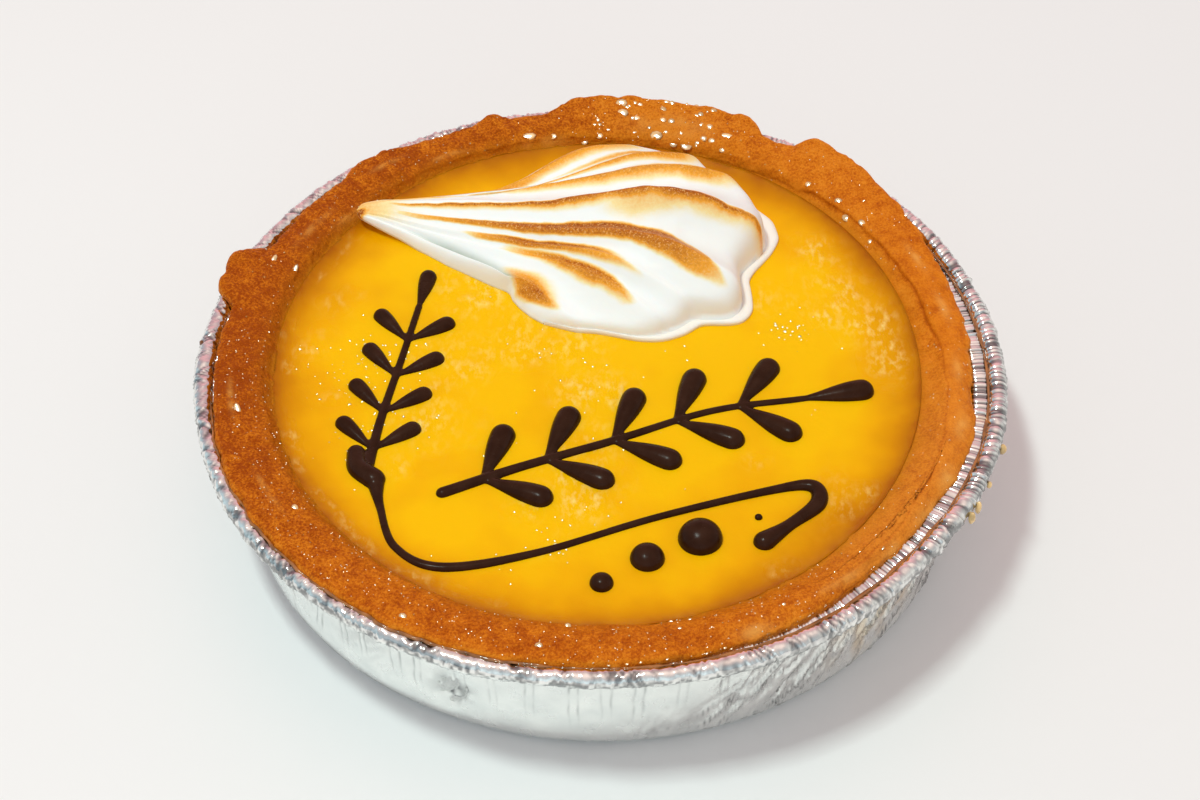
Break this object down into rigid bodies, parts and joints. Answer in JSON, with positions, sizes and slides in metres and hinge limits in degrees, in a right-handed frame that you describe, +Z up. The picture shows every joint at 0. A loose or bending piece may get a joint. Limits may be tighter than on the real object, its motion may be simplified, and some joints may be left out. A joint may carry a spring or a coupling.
{
  "type": "lemon tart",
  "caption": "Round individual lemon tart in its foil tin: a baked pastry case with lemon curd, piped chocolate and a toasted meringue shell.",
  "frame": {"origin": "middle of the foil tin's flat base, on the surface the tart stands on", "axes": "+Z up, +Y from the chocolate underline to the meringue at the back, +X to the right of that view"},
  "size_m": [0.11, 0.11, 0.0328],
  "materials": {
    "foil": "bright crinkled foil",
    "pastry": "fine baked crumb with a thin glaze",
    "curd": "glossy set curd",
    "chocolate": "dark semi-gloss piped chocolate",
    "meringue": "satin white with torch-browned ridges"
  },
  "bodies": {
    "root": {"foil_tin": "foil", "pastry_crust": "pastry", "lemon_curd": "curd", "meringue": "meringue"}
  },
  "joints": []
}
